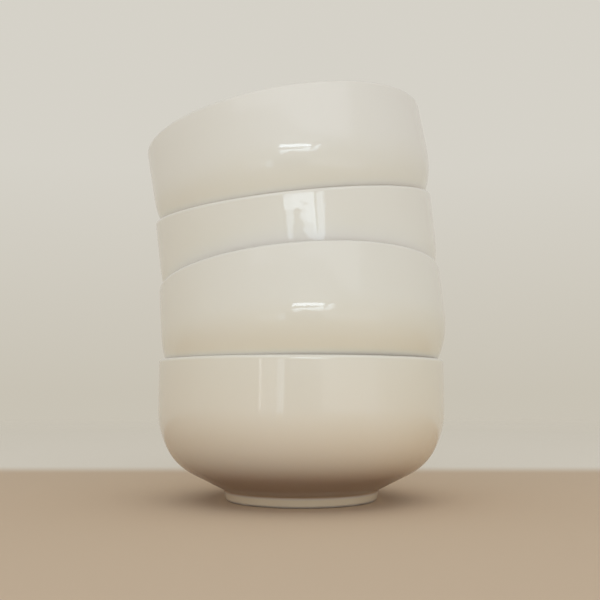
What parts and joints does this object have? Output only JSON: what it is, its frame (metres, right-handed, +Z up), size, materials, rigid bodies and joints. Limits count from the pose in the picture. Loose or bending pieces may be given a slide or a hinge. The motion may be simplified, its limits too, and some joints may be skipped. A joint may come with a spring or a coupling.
{
  "type": "latte bowl stack",
  "caption": "Footed latte bowls of cream glazed stoneware, stacked loosely in one another's rims, each one free to lift off.",
  "frame": {"origin": "middle of the lowest bowl's foot ring, on the plane that it stands on", "axes": "+Z up the stack and out of the lowest bowl's mouth, +Y away from the viewer, +X to the viewer's right"},
  "size_m": [0.1434, 0.1428, 0.1881],
  "materials": {
    "cream_glaze": "smooth gloss glaze, warm off-white; the ring that each foot stands on is wiped bare and satin"
  },
  "bodies": {
    "bowl_1": {"bowl_1": "cream_glaze"},
    "bowl_2": {"bowl_2": "cream_glaze"},
    "bowl_3": {"bowl_3": "cream_glaze"},
    "bowl_4": {"bowl_4": "cream_glaze"}
  },
  "joints": [
    {"name": "lift_bowl_2", "type": "slide", "parent": "bowl_1", "child": "bowl_2", "axis": [0, 0, 1], "range_m": [0, 0.08]},
    {"name": "lift_bowl_3", "type": "slide", "parent": "bowl_2", "child": "bowl_3", "axis": [0, 0, 1], "range_m": [0, 0.08]},
    {"name": "lift_bowl_4", "type": "slide", "parent": "bowl_3", "child": "bowl_4", "axis": [0, 0, 1], "range_m": [0, 0.08]}
  ]
}
